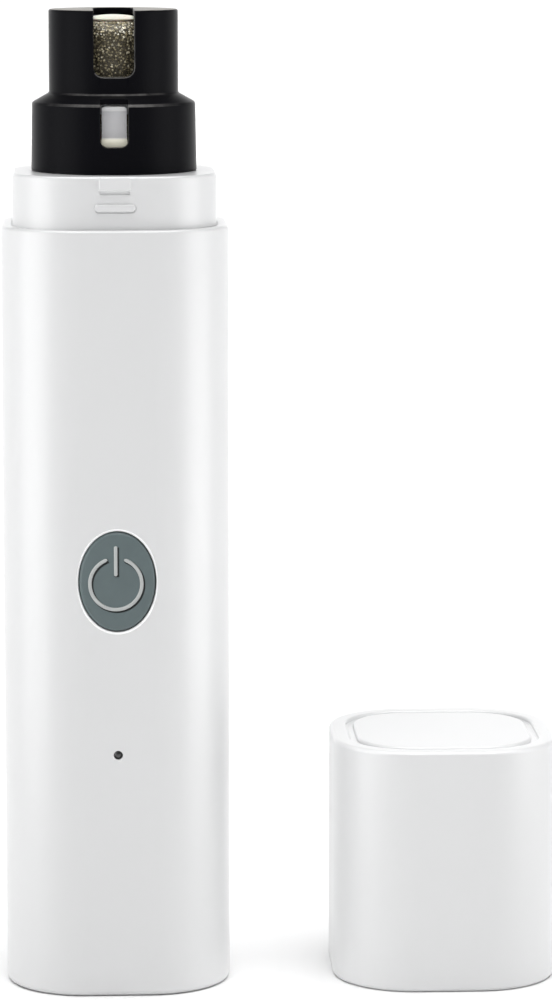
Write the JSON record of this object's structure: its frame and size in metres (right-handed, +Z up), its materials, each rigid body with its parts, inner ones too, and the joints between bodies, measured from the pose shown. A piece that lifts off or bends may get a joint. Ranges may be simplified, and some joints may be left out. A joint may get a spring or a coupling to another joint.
{
  "type": "pet nail grinder",
  "caption": "Slim rechargeable rotary nail trimmer for pets, with a guarded abrasive drum, oval power button and pull-off travel cap standing beside it.",
  "frame": {"origin": "centre of the handle's base, on the surface it stands on", "axes": "+Z up along the handle towards the grinding head, front with the button faces -Y, +X towards the travel cap standing beside it"},
  "size_m": [0.074, 0.0303, 0.13],
  "materials": {
    "white_gloss": "satin white ABS",
    "collar_white": "satin white ABS",
    "black_satin": "satin black plastic",
    "button_grey": "soft silicone",
    "icon_grey": "moulded light-grey silicone",
    "smoked_lens": "smoked light pipe",
    "drum_grit": "metal drum plated with fine grit",
    "ivory_plastic": "ivory acetal",
    "latch_plastic": "off-white acetal",
    "steel": "nickel-plated steel",
    "can_steel": "drawn plated steel",
    "frame_plastic": "natural ABS",
    "plug_plastic": "light-grey ABS",
    "board_green": "solder-masked laminate",
    "chip_black": "epoxy packages",
    "cell_wrap": "shrink-wrapped cell",
    "led_cream": "LED package",
    "wire_red": "silicone wire",
    "wire_black": "silicone wire",
    "magnet": "ferrite",
    "brush_copper": "copper alloy",
    "brass": "sintered bronze",
    "rubber_black": "rubber ring",
    "felt": "wool felt",
    "core_steel": "laminated steel",
    "copper_wire": "enamelled copper"
  },
  "bodies": {
    "handle": {"outer_sleeve": "white_gloss", "base_plug": "plug_plastic", "base_screws": "steel", "neck_collar": "collar_white", "frame_front": "frame_plastic", "frame_rear": "frame_plastic", "frame_screws": "steel", "circuit_board": "board_green", "board_parts": "chip_black", "board_screws": "steel", "charge_socket": "steel", "socket_tongue": "chip_black", "switch_body": "chip_black", "status_led": "led_cream", "light_pipe": "smoked_lens", "battery_cell": "cell_wrap", "battery_tabs": "steel", "wire_motor_red": "wire_red", "wire_motor_black": "wire_black", "wire_battery_red": "wire_red", "wire_battery_black": "wire_black", "motor_can": "can_steel", "motor_end_bell": "frame_plastic", "motor_magnets": "magnet", "motor_brushes": "brush_copper", "motor_terminals": "brush_copper", "motor_bushes": "brass", "motor_damper": "rubber_black", "dust_seal": "felt"},
    "spindle": {"motor_shaft": "steel", "motor_armature": "core_steel", "motor_windings": "copper_wire", "motor_commutator": "brush_copper", "drum_hub": "ivory_plastic", "drum_cap": "ivory_plastic", "grinding_drum": "drum_grit"},
    "guard": {"head_guard": "black_satin"},
    "latch": {"guard_latch": "latch_plastic"},
    "button": {"power_button": "button_grey", "button_icon": "icon_grey"},
    "plunger": {"switch_plunger": "chip_black"},
    "cap": {"cap_shell": "white_gloss", "cap_top_plate": "white_gloss"}
  },
  "joints": [
    {"name": "drum_spin", "type": "hinge", "parent": "handle", "child": "spindle", "pos_m": [0, 0, 0.1], "axis": [0, 0, 1], "continuous": true},
    {"name": "guard_pull", "type": "slide", "parent": "handle", "child": "guard", "axis": [0, 0, 1], "range_m": [0, 0.03]},
    {"name": "latch_flex", "type": "hinge", "parent": "handle", "child": "latch", "pos_m": [0, -0.0088, 0.1096], "axis": [-1, 0, 0], "range_deg": [0, 5], "stiffness_Nm_per_rad": 0.08},
    {"name": "button_press", "type": "slide", "parent": "handle", "child": "button", "axis": [0, 1, 0], "range_m": [0, 0.0005], "stiffness_N_per_m": 3000},
    {"name": "plunger_press", "type": "slide", "parent": "handle", "child": "plunger", "axis": [0, 1, 0], "range_m": [0, 0.0005]},
    {"name": "cap_lift", "type": "slide", "parent": "handle", "child": "cap", "axis": [0, 0, 1], "range_m": [0, 0.06]}
  ],
  "couplings": [
    {"joint": "plunger_press", "follows": "button_press", "ratio": 1}
  ]
}
